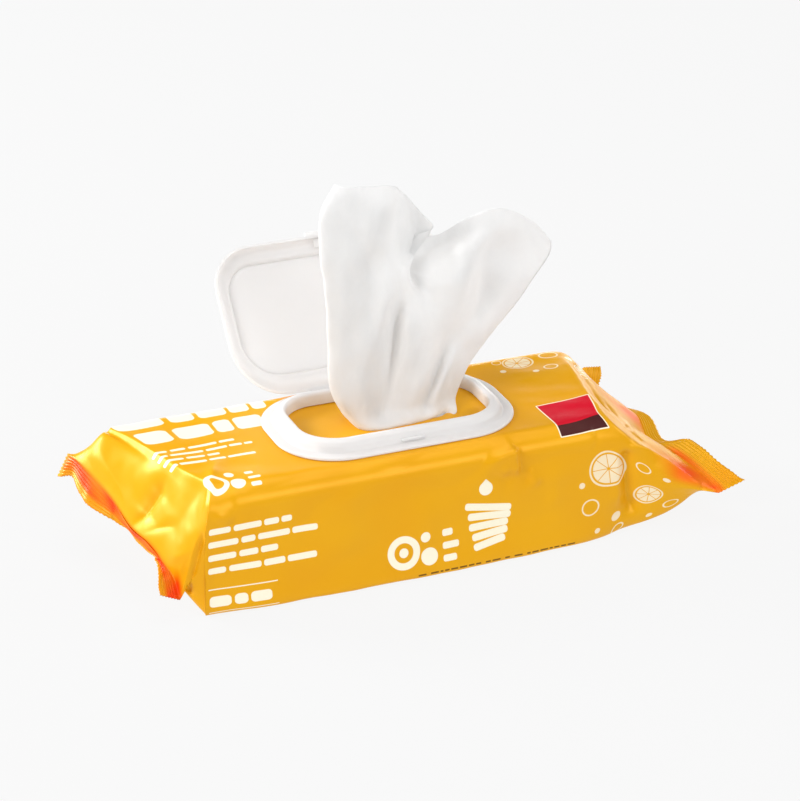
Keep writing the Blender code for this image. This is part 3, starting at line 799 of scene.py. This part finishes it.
# ---- print on the film -------------------------------------------------------------------
def print_masks(t, place):
    """White, red and dark fields, from the place on the flat film in mm."""
    def box(cx, cy, w, h, rad=0.6, turn=0.0, soft=0.12):
        p = t.vec("SUBTRACT", place, (cx, cy, 0))
        if turn:
            n = t.node("ShaderNodeVectorRotate", rotation_type="Z_AXIS")
            t.link(p, n.inputs["Vector"])
            n.inputs["Angle"].default_value = radians(turn)
            p = n.outputs[0]
        rad = min(rad, w / 2 - 0.01, h / 2 - 0.01)
        q = t.vec("SUBTRACT", t.vec("ABSOLUTE", p), (w / 2 - rad, h / 2 - rad, 0))
        q = t.vec("MAXIMUM", q, (0, 0, 0))
        return t.ramp(t.vec("LENGTH", q), rad - soft, rad + soft, 1, 0)

    def disc(cx, cy, rad, soft=0.12):
        return t.ramp(t.vec("DISTANCE", place, (cx, cy, 0)), rad - soft, rad + soft, 1, 0)

    def both(a, b):
        return t.math("MULTIPLY", a, b)

    def less(a, b):
        return t.math("SUBTRACT", a, b, clamp=True)

    def ring(cx, cy, rad, line):
        return less(disc(cx, cy, rad), disc(cx, cy, rad - line))

    def join(items):
        out = items[0]
        for m in items[1:]:
            out = t.math("MAXIMUM", out, m)
        return out

    def bars(x, y, widths, height, pitch, gap=1.2, rad=9):
        """Rows of rounded bars in place of words: widths is a list of rows."""
        out = []
        for row, words in enumerate(widths):
            at = x
            for w in words:
                out.append(box(at + w / 2, y + row * pitch, w, height, rad))
                at += w + gap
        return out

    white = []
    # title field on the top, at the left of the lid: two rows of short blocks
    white += bars(-105.5, -38.5, [[12, 8, 13, 10, 7]], 12.5, 11.4, 1.7, 2.6)
    white += bars(-104.5, -20.5, [[9, 13, 8, 14]], 12.5, 11.4, 1.7, 2.6)
    # small lines below it
    white += bars(-109.5, -5.2, [[8, 5, 11, 7], [6, 12, 9, 6, 4], [10, 7, 5], [5, 11, 7, 13]], 2.1, 5.4, 1.1, 0.8)
    # a ring and discs
    white += [ring(-100.5, 36.5, 7.4, 3.0), disc(-88.6, 38.0, 3.9), disc(-90.0, 29.0, 2.3)]
    white += bars(-82.5, 29.5, [[4], [6], [5]], 2.6, 5.6, 1.0, 0.9)
    # lines on the front
    white += bars(-102.5, 60.5, [[9, 12, 7, 5], [12, 6, 15, 12], [11, 8, 8], [7, 13, 10, 14]], 3.0, 6.5, 1.2, 1.1)
    white += [box(-88.5, 89.2, 28, 0.5, 0.2), box(-88.5, 101.0, 28, 0.5, 0.2)]
    white += bars(-102, 95.2, [[8, 5, 9]], 5.2, 6.5, 1.2, 1.8)
    # a large ring and discs
    white += [ring(-12.5, 87.8, 8.2, 3.4), disc(-12.5, 87.8, 2.3), disc(0.4, 91.6, 4.3), disc(-1.4, 81.8, 2.5)]
    white += bars(7.5, 81.6, [[5.5], [8.5], [7]], 3.3, 6.2, 1.0, 1.1)
    # a drop over a stack of sheets
    drop = join([disc(30.6, 64.0, 3.4), both(box(30.6, 64.0, 6.8, 6.8, 0.3, 45), box(30.6, 56.6, 12, 10, 0.1))])
    white += [drop]
    sheets = []
    for k in range(5):
        sheets.append(box(31.5 + 0.5 * (k % 2), 73.5 + 4.3 * k, 23.5 - 1.8 * k, 3.5, 1.4, -10 + 5 * k))
    white += sheets
    # citrus slices, rings and bubbles, at the right of the front
    def slice_(cx, cy, rad):
        p = t.vec("SUBTRACT", place, (cx, cy, 0))
        sep = t.node("ShaderNodeSeparateXYZ")
        t.link(p, sep.inputs[0])
        angle = t.math("ARCTAN2", sep.outputs[1], sep.outputs[0])
        spoke = t.math("ABSOLUTE", t.math("SINE", t.math("MULTIPLY", angle, 4.0)))
        width = t.math("MULTIPLY", t.vec("LENGTH", p), spoke)
        flesh = both(t.ramp(width, 0.55, 0.8), disc(cx, cy, rad * 0.80))
        return join([ring(cx, cy, rad, rad * 0.10), flesh])
    art = [slice_(93, 66, 9.2), slice_(110, 83, 6.4), ring(84, 84, 4.2, 0.7), disc(97, 93, 2.2),
           ring(109, 66, 3.2, 0.6), disc(80, 72, 1.5), ring(100, 100, 3.0, 0.6), disc(88, 97, 1.4),
           disc(118, 70, 1.6), ring(120, 92, 3.0, 0.6), disc(113, 97, 1.2)]
    # and on the top, at the right of the lid
    art += [slice_(82, -33, 7.0), ring(96, -36, 4.0, 0.7), disc(104, -31, 2.2), ring(93, -22, 3.0, 0.6),
            disc(86, -20, 1.4), slice_(110, -22, 5.6), ring(106, -12, 2.4, 0.5), disc(72, -26, 1.6), ring(73, -37, 2.6, 0.5)]
    white.append(t.math("MULTIPLY", join(art), 0.72))
    frame_box = box(84.9, 30.5, 30.8, 31.0, 0.6)
    red = box(84.9, 30.5, 29.6, 29.8, 0.4)
    dark = both(box(84.9, 42.0, 29.6, 7.2, 0.1), red)
    code = []
    rr = np.random.default_rng(4)
    for row in range(2):
        x = -6
        while x < 72:
            w = rr.uniform(1.2, 4.2)
            code.append(box(x + w / 2, 100.6 + row * 4.4, w, 1.2, 0.2))
            x += w + rr.choice([0.9, 0.9, 2.4])
            if row == 1 and x > 42:
                break
    code = join(code)
    white.append(frame_box)
    return join(white), red, dark, code


# ---- materials ----------------------------------------------------------------------------
def film_material():
    t = Tree("film")
    a = t.node("ShaderNodeAttribute", attribute_name="sheet")
    place = a.outputs["Vector"]
    painted_fold_shade = t.node("ShaderNodeAttribute", attribute_name="painted_fold_shade").outputs["Fac"]
    geo = t.node("ShaderNodeTexCoord").outputs["Object"]
    white, red, dark, code = print_masks(t, place)
    tone = t.noise(geo, 22, 2.0)
    colour = t.mix(t.ramp(tone, 0.3, 0.7), (0.79, 0.362, 0.0008), (0.82, 0.402, 0.001))
    # painted shade: deep orange-red mixed in by the fold-shade attribute, standing in for shade and bounce light in the
    # fins and folds
    colour = t.mix(painted_fold_shade, colour, (0.94, 0.055, 0.0))
    colour = t.mix(white, colour, (0.98, 0.92, 0.72))
    colour = t.mix(red, colour, (0.66, 0.0, 0.02))
    colour = t.mix(dark, colour, (0.012, 0.010, 0.010))
    colour = t.mix(t.math("MULTIPLY", code, 0.8), colour, (0.05, 0.012, 0.0))
    t.link(colour, t.shader.inputs["Base Color"])
    rough = t.ramp(t.noise(geo, 60, 3.0), 0.3, 0.7, 0.34, 0.40)
    t.link(rough, t.shader.inputs["Roughness"])
    t.shader.inputs["Metallic"].default_value = 0.10
    t.shader.inputs["Specular IOR Level"].default_value = 0.34
    t.shader.inputs["Specular Tint"].default_value = (1.0, 0.85, 0.70, 1)
    fine = t.noise(geo, 260, 3.0, 0.55, 0.4)
    big = t.noise(geo, 55, 2.0, 0.5, 0.6)
    n = t.bump(big, 0.07, 0.0016)
    n = t.bump(fine, 0.05, 0.0004, n)
    t.link(n, t.shader.inputs["Normal"])
    return t.mat


def plastic_material():
    t = Tree("moulded_plastic")
    geo = t.node("ShaderNodeTexCoord").outputs["Object"]
    tone = t.noise(geo, 30, 2.0)
    t.link(t.mix(t.ramp(tone, 0.3, 0.7), (0.88, 0.872, 0.868), (0.90, 0.892, 0.888)), t.shader.inputs["Base Color"])
    t.link(t.ramp(t.noise(geo, 90, 3.0), 0.3, 0.7, 0.28, 0.38), t.shader.inputs["Roughness"])
    t.shader.inputs["Specular IOR Level"].default_value = 0.45
    n = t.bump(t.noise(geo, 900, 2.0), 0.05, 0.0001)
    t.link(n, t.shader.inputs["Normal"])
    through = t.node("ShaderNodeBsdfTranslucent")
    through.inputs["Color"].default_value = (0.98, 0.97, 0.965, 1)
    m = t.node("ShaderNodeMixShader")
    m.inputs[0].default_value = 0.32
    t.t.links.new(t.shader.outputs[0], m.inputs[1])
    t.t.links.new(through.outputs[0], m.inputs[2])
    t.t.links.new(m.outputs[0], t.out.inputs["Surface"])
    return t.mat


def cloth_material(name, colour, wet, through_share):
    t = Tree(name)
    geo = t.node("ShaderNodeTexCoord").outputs["Object"]
    stretch = t.vec("MULTIPLY", geo, (1.0, 1.0, 0.35))
    fibres = t.noise(stretch, 1600, 4.0, 0.65, 1.2)
    clouds = t.noise(geo, 140, 3.0, 0.6)
    tone = t.math("ADD", t.math("MULTIPLY", fibres, 0.4), t.math("MULTIPLY", clouds, 0.6))
    t.link(t.mix(t.ramp(tone, 0.35, 0.65), tuple(c * 0.965 for c in colour), colour), t.shader.inputs["Base Color"])
    t.shader.inputs["Roughness"].default_value = wet
    t.shader.inputs["Specular IOR Level"].default_value = 0.25
    t.shader.inputs["Sheen Weight"].default_value = 0.15
    n = t.bump(fibres, 0.35, 0.00012)
    n = t.bump(clouds, 0.25, 0.0008, n)
    t.link(n, t.shader.inputs["Normal"])
    if through_share:
        through = t.node("ShaderNodeBsdfTranslucent")
        through.inputs["Color"].default_value = (0.97, 0.965, 0.96, 1)
        t.link(n, through.inputs["Normal"])
        m = t.node("ShaderNodeMixShader")
        m.inputs[0].default_value = through_share
        t.t.links.new(t.shader.outputs[0], m.inputs[1])
        t.t.links.new(through.outputs[0], m.inputs[2])
        t.t.links.new(m.outputs[0], t.out.inputs["Surface"])
    return t.mat


FILM = film_material()
PLASTIC = plastic_material()
NONWOVEN = cloth_material("nonwoven", (0.86, 0.86, 0.858), 0.85, 0.33)
WET = cloth_material("wet_stack", (0.88, 0.885, 0.88), 0.6, 0.0)

film.data.materials.append(FILM)
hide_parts("film_pouch")
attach(film, "pack")


# ---- the long back seal under the base -----------------------------------------------------
def back_seal():
    n, m = 200, 16
    x = np.linspace(-98, 90, n)
    y = np.linspace(-7.5, 7.5, m)
    X, Y = np.meshgrid(x, y, indexing="ij")
    rib = 0.07 * np.sin(2 * pi * Y / 1.4) * (np.abs(Y) < 5.5)
    top = np.stack([X, Y, np.full_like(X, 0.30) + 0 * rib], -1)
    low = np.stack([X, Y, 0.12 + rib + 0.07], -1)
    v = np.concatenate([top.reshape(-1, 3), low.reshape(-1, 3)])
    k = np.arange(n * m).reshape(n, m)
    q = [(k[i, j], k[i + 1, j], k[i + 1, j + 1], k[i, j + 1]) for i in range(n - 1) for j in range(m - 1)]
    lowq = [(c + n * m for c in f[::-1]) for f in q]
    rimq = []
    edge = [k[i, 0] for i in range(n)] + [k[n - 1, j] for j in range(1, m)] + [k[i, m - 1] for i in range(n - 2, -1, -1)] + [k[0, j] for j in range(m - 2, 0, -1)]
    for a, b in zip(edge, edge[1:] + edge[:1]):
        rimq.append((b, a, a + n * m, b + n * m))
    ob = make_mesh("back_seal", v, q + [tuple(f) for f in lowq] + rimq)
    face_out(ob)
    ob.data.materials.append(FILM)
    at = ob.data.attributes.new("sheet", "FLOAT_VECTOR", "POINT")
    at.data.foreach_set("vector", np.stack([v[:, 0], 150 + v[:, 1], 0 * v[:, 0]], -1).astype(np.float32).ravel())
    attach(ob, "pack")
    return ob


back_seal()


# ---- lid frame and lid ----------------------------------------------------------------------
def rounded(length, width, radius, z, cx=0.0, cy=0.0, steps=26, straight=10, front=None):
    """Rounded rectangle, counter-clockwise, with points along its straight sides too;
    front is the radius of the two corners at low y."""
    most = min(length, width) / 2 - 0.01
    back, front = min(radius, most), min(radius if front is None else front, most)
    pts = []
    for sx, sy, start in ((1, 1, 0), (-1, 1, 90), (-1, -1, 180), (1, -1, 270)):
        radius = back if sy > 0 else front
        ox, oy = sx * (length / 2 - radius), sy * (width / 2 - radius)
        for i in range(steps + 1):
            a = radians(start + 90 * i / steps)
            pts.append((cx + ox + radius * cos(a), cy + oy + radius * sin(a), z))
    full = []
    for i, p in enumerate(pts):
        full.append(p)
        if i % (steps + 1) == steps:
            q = pts[(i + 1) % len(pts)]
            full += [lerp(p, q, k / straight) for k in range(1, straight)]
    return full


def loop_mesh(name, loops, closed=True, cap=False):
    n = len(loops[0])
    v = np.array(loops).reshape(-1, 3)
    q = []
    for r_ in range(len(loops) if closed else len(loops) - 1):
        a, b = r_ * n, ((r_ + 1) % len(loops)) * n
        q += [(a + k, a + (k + 1) % n, b + (k + 1) % n, b + k) for k in range(n)]
    ob = make_mesh(name, v, q, [tuple(range((len(loops) - 1) * n, len(loops) * n))] if cap else ())
    face_out(ob)
    return ob


def round_profile(points, radius=0.25, closed=True, n=3):
    """Rounds the corners of a profile of (a, z) pairs."""
    out = []
    m = len(points)
    for i in range(m):
        p = np.array(points[i], float)
        if not closed and i in (0, m - 1):
            out.append(tuple(p))
            continue
        a, b = np.array(points[i - 1], float), np.array(points[(i + 1) % m], float)
        la, lb = np.linalg.norm(a - p), np.linalg.norm(b - p)
        s, e = p + (a - p) / la * min(radius, la * 0.4), p + (b - p) / lb * min(radius, lb * 0.4)
        for k in range(n + 1):
            t_ = k / n
            out.append(tuple((1 - t_) ** 2 * s + 2 * t_ * (1 - t_) * p + t_ ** 2 * e))
    return out


FRAME_L, FRAME_W, FRAME_R, FRAME_Z = 120.0, 74.4, 30.0, 60.95
FRAME_PROFILE = [(0.0, 61.2), (0.0, 61.9), (0.5, 62.4), (5.0, 62.5), (5.6, 63.4), (6.3, 65.2),
                 (7.8, 66.7), (9.4, 67.5), (10.9, 67.8), (11.8, 67.3), (12.1, 66.2), (12.1, FRAME_Z),
                 (11.0, FRAME_Z), (10.8, 66.3), (9.6, 66.3), (8.3, 65.4), (7.5, 63.9), (6.9, 62.0),
                 (6.4, FRAME_Z), (0.3, FRAME_Z)]
ring_loops = [rounded(FRAME_L - 2 * d, FRAME_W - 2 * d, FRAME_R - d, z) for d, z in round_profile(FRAME_PROFILE, 0.35)]
lid_frame = loop_mesh("lid_ring", ring_loops)
lid_frame.data.materials.append(PLASTIC)
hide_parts("lid_frame")
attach(lid_frame, "pack")


def small_box(name, size, at, bevel, body=None, parent_matrix=None):
    """Rounded block, for a nub or a tab; mm."""
    bm = bmesh.new()
    bmesh.ops.create_cube(bm, size=1)
    for v in bm.verts:
        v.co = Vector((v.co.x * size[0], v.co.y * size[1], v.co.z * size[2])) * MM
    bmesh.ops.bevel(bm, geom=list(bm.edges), offset=bevel * MM, segments=4, profile=0.5, affect="EDGES")
    me = bpy.data.meshes.new(name)
    bm.to_mesh(me)
    bm.free()
    me.transform(Matrix.Translation(Vector(at) * MM))
    if parent_matrix is not None:
        me.transform(parent_matrix)
    me.shade_smooth()
    ob = bpy.data.objects.new(name, me)
    bpy.context.scene.collection.objects.link(ob)
    ob.data.materials.append(PLASTIC)
    if body:
        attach(ob, body)
    return ob


small_box("catch_nub", (12, 1.6, 1.4), (0, -FRAME_W / 2 + 5.4, 63.9), 0.45, "pack")

LID_L, LID_W, LID_R, LID_WALL = 120.0, 76.8, 27.0, 1.2
HINGE_Y, HINGE_Z, LID_OPEN = 37.6, 62.8, 128.0
LID_LEVELS = [(0.0, 0.3, 0.0), (0.05, 0.4, 0.9), (0.3, 1.9, 2.5), (1.0, 4.2, 4.9), (2.4, 6.3, 6.3), (4.2, 8.4, 6.85),
              (6.6, 10.3, 7.0), (7.4, 11.0, 8.5), (8.4, 11.9, 9.1), (9.6, 12.9, 8.2), (11.5, 14.6, 7.9), (16.0, 19.0, 8.1)]


def smooth_levels(levels, n=5):
    p = smooth_line([(float(a), float(b), float(c)) for a, b, c in levels], n)
    return [tuple(q) for q in p]


lid_loops = []
for d, back, h in smooth_levels(LID_LEVELS):
    front_y, back_y = -LID_W + d, -back
    lid_loops.append(rounded(LID_L - 2 * d, back_y - front_y, LID_R - d * 0.9, h, 0, (front_y + back_y) / 2,
                             front=20.0 - d * 0.75))
# the panel in the middle is closed by shrinking loops, so that it keeps an even mesh
d, back, h = LID_LEVELS[-1]
for s in (0.85, 0.65, 0.45, 0.25, 0.08):
    cy = (-LID_W + d - back) / 2
    lid_loops.append([(x * s, cy + (y - cy) * s, h + 0.25 * (1 - s * s)) for x, y, z in lid_loops[len(smooth_levels(LID_LEVELS)) - 1]])
lid = loop_mesh("lid_shell", lid_loops, closed=False, cap=True)
solid = lid.modifiers.new("wall", "SOLIDIFY")
solid.thickness, solid.offset, solid.use_even_offset = LID_WALL * MM, -1, True
apply_modifiers(lid)
OPEN = Matrix.Translation((0, HINGE_Y * MM, HINGE_Z * MM)) @ Matrix.Rotation(-radians(LID_OPEN), 4, "X")
lid.data.transform(OPEN)
lid.data.shade_smooth()
lid.data.set_sharp_from_angle(angle=radians(50))
lid.data.materials.clear()
lid.data.materials.append(PLASTIC)
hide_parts("flip_lid")
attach(lid, "lid")
small_box("thumb_tab", (18, 3.6, 1.4), (0, -LID_W - 0.4, 0.9), 0.5, "lid", OPEN)
small_box("catch_tongue", (10, 4.8, 1.2), (0, -LID_W + 3.5, 2.2), 0.45, "lid", OPEN)

# living hinge: a thin web from the frame's back lip to the lid's rim
def hinge_web():
    n, m = 60, 12
    x = np.linspace(-25, 25, n)
    a = np.array([0, 36.2, 62.1])
    b = np.array(OPEN @ Vector((0, -1.2 * MM, 0.5 * MM))) / MM
    mid = np.array([0, HINGE_Y + 0.3, HINGE_Z - 0.5])
    s = np.linspace(0, 1, m)[:, None]
    path = (1 - s) ** 2 * a + 2 * s * (1 - s) * mid + s ** 2 * b
    verts, faces = [], []
    tang = np.gradient(path, axis=0)
    nrm = np.stack([0 * tang[:, 0], -tang[:, 2], tang[:, 1]], -1)
    nrm /= np.linalg.norm(nrm, axis=1, keepdims=True)
    thick = 0.2 + 0.25 * np.abs(np.linspace(-1, 1, m)) ** 2
    for sgn in (1, -1):
        for p, k, th in zip(path, nrm, thick):
            for xx in x:
                verts.append((xx, *(p + sgn * k * th)[1:]))
    def at(sgn, r_, c):
        return sgn * n * m + r_ * n + c
    for r_ in range(m - 1):
        for c in range(n - 1):
            faces.append((at(0, r_, c), at(0, r_, c + 1), at(0, r_ + 1, c + 1), at(0, r_ + 1, c)))
            faces.append((at(1, r_, c), at(1, r_ + 1, c), at(1, r_ + 1, c + 1), at(1, r_, c + 1)))
    for r_ in range(m - 1):
        faces.append((at(0, r_, 0), at(0, r_ + 1, 0), at(1, r_ + 1, 0), at(1, r_, 0)))
        faces.append((at(0, r_, n - 1), at(1, r_, n - 1), at(1, r_ + 1, n - 1), at(0, r_ + 1, n - 1)))
    for c in range(n - 1):
        faces.append((at(0, 0, c), at(1, 0, c), at(1, 0, c + 1), at(0, 0, c + 1)))
        faces.append((at(0, m - 1, c), at(0, m - 1, c + 1), at(1, m - 1, c + 1), at(1, m - 1, c)))
    ob = make_mesh("living_hinge", verts, faces)
    face_out(ob)
    ob.data.materials.append(PLASTIC)
    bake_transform(ob)
    return ob


hinge_web()


# ---- the wipe that stands out of the opening -------------------------------------------------
# Rows from the bottom to the cut edge, image points with their depth in mm. The first column
# lies behind, so that the left edge is a fold, and columns 7 to 9 fold back behind each other.
WIPE = [
    [(350, 408), (344.8, 415.5), (350, 421.5), (357, 426.5), (365, 429), (374, 429.5), (386, 428),
     (399, 425.5), (410, 423), (421, 420), (431, 417.5), (440, 413.5), (447, 410.5), (456, 412.5)],
    [(347, 400, 8), (334.5, 399, 4), (342, 403, -3), (353, 406, -6), (365, 409, -7), (375, 410, -5), (384, 410, -3),
     (394, 409, -5), (404, 407, -6), (415, 405, -7), (426, 403, -4), (437, 399, -6), (447, 396, -3), (455.5, 397, 0)],
    [(342, 371, 8), (328.5, 368, 2), (339, 370, -4), (353, 373, -6), (366, 376, -7), (377, 379, -5), (387, 381, 0),
     (398, 381, -4), (410, 380, -6), (422, 378, -7), (434, 376, -1), (445, 374, -5), (455, 373, -2), (463, 372, 1)],
    [(342, 342, 8), (327.5, 340, 2), (339, 341, -4), (355, 343, -6), (369, 346, -8), (381, 349, -6), (391, 351, 2),
     (403, 353, -6), (416, 353, -8), (430, 352, -6), (443, 351, -1), (456, 350, -3), (468, 349.5, 0), (478, 349, 2)],
    [(341, 314, 8), (326.5, 312, 2), (339, 313, -4), (356, 315, -6), (372, 317, -7), (384, 320, -8), (394, 322, 1),
     (407, 325, -7), (423, 327, -8), (438, 328, -6), (453, 328, -4), (468, 328, -1), (484, 327, 0), (497, 326, 2)],
    [(339, 287, 8), (324, 285, 2), (337, 286, -4), (356, 288, -6), (374, 290, -6), (388, 292, -8), (399, 295, -4),
     (411, 299, -5), (427, 302, -5), (444, 304, -8), (461, 304, -8), (478, 303, 2), (499, 302, 1), (517, 302, 2)],
    [(336, 262, 9), (321, 260, 2), (334, 261, -4), (354, 262, -7), (374, 263, -6), (389, 266, -6), (400, 270, -5),
     (408, 275, -5), (414, 281, 0), (440, 283, -7), (463, 280, -11), (485, 277, 2), (511, 279, 2), (531, 281, 2)],
    [(334, 236, 9), (319.5, 235, 2), (333, 236, -4), (354, 238, -7), (376, 239, -9), (393, 243, -3), (405, 249, 2),
     (415, 256, 0), (403, 263, 3), (428, 264, 2), (462, 258, -6), (492, 250, 3), (523, 256, 4), (545, 261, 3)],
    [(335, 213, 9), (321, 211, 2), (335, 212, -4), (357, 213, -7), (382, 213, -9), (399, 219, -1), (413, 228, 4),
     (426, 239, 0), (408, 247, 5), (431, 250, 7), (464, 237, 5), (500, 228, 0), (533, 236, 5), (550.5, 249, 4)],
    [(345, 190, 9), (334, 185, 3), (347, 186.5, -3), (366, 186.5, -6), (392, 185.5, -5), (404, 193.5, 0), (420, 211, 1),
     (433.5, 227, -4), (415, 235, 5), (438, 234.5, 9), (466, 218.5, 8), (500, 208, 2), (533, 221.5, 6), (551, 240.5, 4)],
]


def catmull(points, n):
    """Catmull-Rom along axis 0, n points a span."""
    p = np.asarray(points, float)
    e = np.concatenate([2 * p[:1] - p[1:2], p, 2 * p[-1:] - p[-2:-1]])
    out = []
    for k in range(1, len(e) - 2):
        a, b, c, d = e[k - 1], e[k], e[k + 1], e[k + 2]
        for s in np.arange(n) / n:
            out.append(0.5 * (2 * b + (c - a) * s + (2 * a - 5 * b + 4 * c - d) * s ** 2 + (3 * b - 3 * c + d - a) * s ** 3))
    out.append(p[-1])
    return np.array(out)


grid = np.array([[on_plane(c[0], c[1], 0.98 * c[2]) if len(c) == 3 else on_height(*c, 61.3) for c in row] for row in WIPE])
# down into the pack, through the die-cut opening
below = grid[0].copy()
below[:, 1] *= 0.45
below[:, 0] = MOUTH_X + (below[:, 0] - MOUTH_X) * 0.72
below[:, 2] = 57.0
grid = np.concatenate([below[None], grid])
W = catmull(grid, 13)
W = np.swapaxes(catmull(np.swapaxes(W, 0, 1), 11), 0, 1)


def wipe_normals(p):
    a = np.gradient(p, axis=0)
    b = np.gradient(p, axis=1)
    n = np.cross(b, a)
    return n / (np.linalg.norm(n, axis=-1, keepdims=True) + 1e-9)


# crumples: soft ones over all, finer ones where the sheet is gathered
h = np.linspace(0, 1, W.shape[0])[:, None]
for _ in range(2):
    W[1:-1, 1:-1] = 0.5 * W[1:-1, 1:-1] + 0.125 * (W[2:, 1:-1] + W[:-2, 1:-1] + W[1:-1, 2:] + W[1:-1, :-2])
wn = wipe_normals(W)
amount = smooth(0.0, 0.15, h) * (0.9 - 0.2 * h)
W = W + (amount * 0.6 * waves(W * np.array([1, 1, 0.55]), 24, 21, 2))[..., None] * wn
W = W + (amount * 0.10 * waves(W * np.array([1, 1, 0.6]), 7, 22, 2))[..., None] * wn
nr, nc = W.shape[:2]
k = np.arange(nr * nc).reshape(nr, nc)
wq = np.stack([k[:-1, :-1], k[:-1, 1:], k[1:, 1:], k[1:, :-1]], -1).reshape(-1, 4)
wipe = make_mesh("standing_wipe", W.reshape(-1, 3), wq)
thick = wipe.modifiers.new("thickness", "SOLIDIFY")
thick.thickness, thick.offset = 0.35 * MM, 0
apply_modifiers(wipe)
wipe.data.shade_smooth()
wipe.data.materials.clear()
wipe.data.materials.append(NONWOVEN)
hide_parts("top_wipe")
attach(wipe, "pack")
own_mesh(wipe)

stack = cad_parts["wipe_stack"]
stack.data.materials.clear()
stack.data.materials.append(WET)

# ---- stage and light ---------------------------------------------------------------------------
def flat_floor():
    me = bpy.data.meshes.new("floor")
    s = 12.0
    me.from_pydata([(-s, -s, 0), (s, -s, 0), (s, s, 0), (-s, s, 0)], [], [(0, 1, 2, 3)])
    ob = bpy.data.objects.new("floor", me)
    bpy.context.scene.collection.objects.link(ob)
    t = Tree("floor")
    t.shader.inputs["Base Color"].default_value = (0.04, 0.04, 0.04, 1)
    t.shader.inputs["Roughness"].default_value = 1.0
    t.shader.inputs["Specular IOR Level"].default_value = 0.0
    t.shader.inputs["Emission Color"].default_value = (1, 1, 1, 1)
    t.shader.inputs["Emission Strength"].default_value = 0.89
    me.materials.append(t.mat)
    return ob


flat_floor()

world = bpy.data.worlds.new("studio")
bpy.context.scene.world = world
world.use_nodes = True
wt = world.node_tree
bg = wt.nodes["Background"]
bg.inputs["Color"].default_value = (1, 1, 1, 1)
bg.inputs["Strength"].default_value = 0.20


def softbox(name, at, aim, size, power):
    data = bpy.data.lights.new(name, "AREA")
    data.shape, data.size, data.size_y, data.energy = "RECTANGLE", size[0], size[1], power
    ob = bpy.data.objects.new(name, data)
    ob.location = at
    ob.rotation_euler = (Vector(aim) - Vector(at)).to_track_quat("-Z", "Y").to_euler()
    bpy.context.scene.collection.objects.link(ob)
    return ob


softbox("back_left", (-1.02, 0.99, 0.66), (-0.05, 0, 0.05), (0.72, 0.55), 26)
softbox("back_right", (1.0, 1.5, 0.13), (0.05, 0, 0.05), (1.3, 0.24), 5.8)
softbox("right", (1.5, -0.2, 0.9), (0.1, 0, 0.05), (0.8, 0.8), 7)
softbox("key", (-1.5, -0.7, 0.85), (0, 0, 0.05), (0.7, 0.7), 16)
softbox("over", (0.1, 0.0, 1.7), (0, 0, 0.05), (1.2, 1.2), 10.5)
softbox("front", (0.5, -1.6, 1.0), (0, 0, 0.05), (0.9, 0.8), 11)
